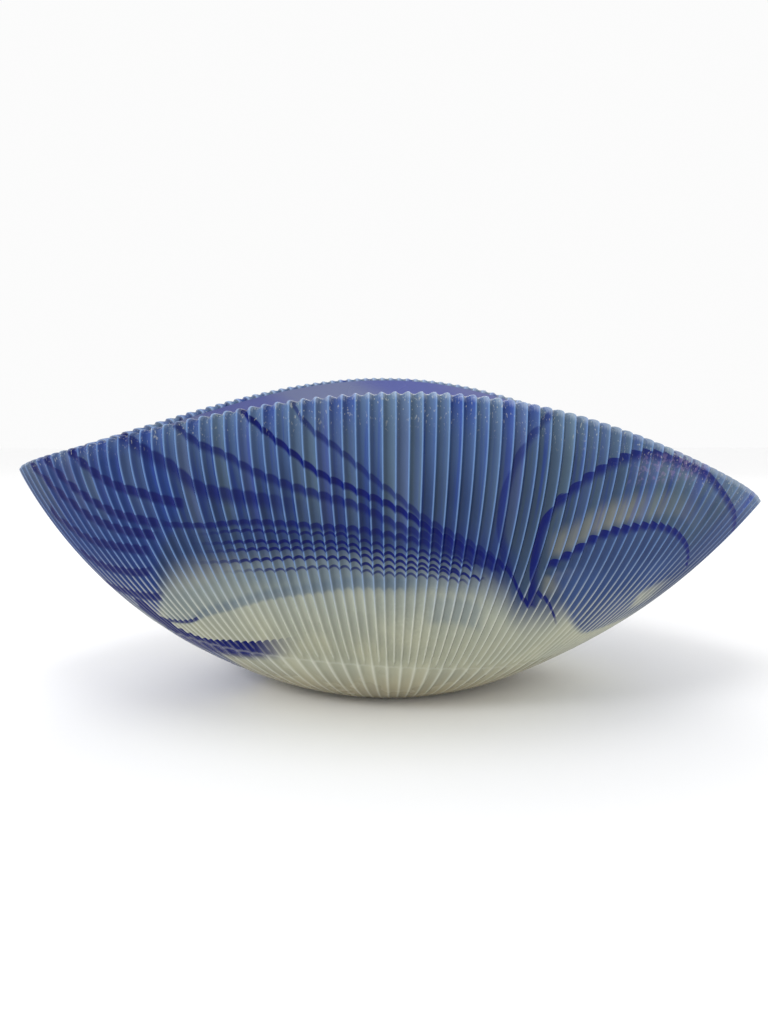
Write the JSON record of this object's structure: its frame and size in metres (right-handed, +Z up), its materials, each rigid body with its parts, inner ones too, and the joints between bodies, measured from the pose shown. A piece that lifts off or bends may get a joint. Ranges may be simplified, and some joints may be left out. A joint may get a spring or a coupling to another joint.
{
  "type": "art glass bowl",
  "caption": "Boat-shaped fluted glass bowl: white opal body under a blue overlay with cobalt trails, fluted clear casing and a flat foot.",
  "frame": {"origin": "centre of the flat foot, on the surface the bowl stands on", "axes": "+Z up out of the bowl's mouth, X along the long axis of the pointed oval, with the lower front long side towards -Y"},
  "size_m": [0.3992, 0.2585, 0.171],
  "materials": {
    "opal_body": "gloss",
    "casing": "gloss",
    "opal": "gloss",
    "overlay": "gloss",
    "cobalt": "gloss",
    "grey_blue": "gloss"
  },
  "bodies": {
    "root": {"opal_body": "opal_body", "fluted_casing": "casing", "base_cap": "opal", "blue_overlay": "overlay", "long_trail_first": "cobalt", "long_trail_second": "cobalt", "long_trail_third": "cobalt", "long_trail_fourth": "cobalt", "long_trail_fifth": "cobalt", "long_trail_sixth": "cobalt", "short_trail_first": "cobalt", "short_trail_second": "cobalt", "short_trail_third": "cobalt", "short_trail_fourth": "cobalt", "wavy_thread_first": "cobalt", "wavy_thread_second": "cobalt", "wavy_thread_third": "cobalt", "soft_grey_trail": "grey_blue", "low_cobalt_trail": "cobalt", "upper_arc_trail": "cobalt", "outer_arch_trail": "cobalt", "inner_arch_trail": "cobalt", "tail_trail": "cobalt", "cream_band": "opal", "blue_pool": "cobalt"}
  },
  "joints": []
}
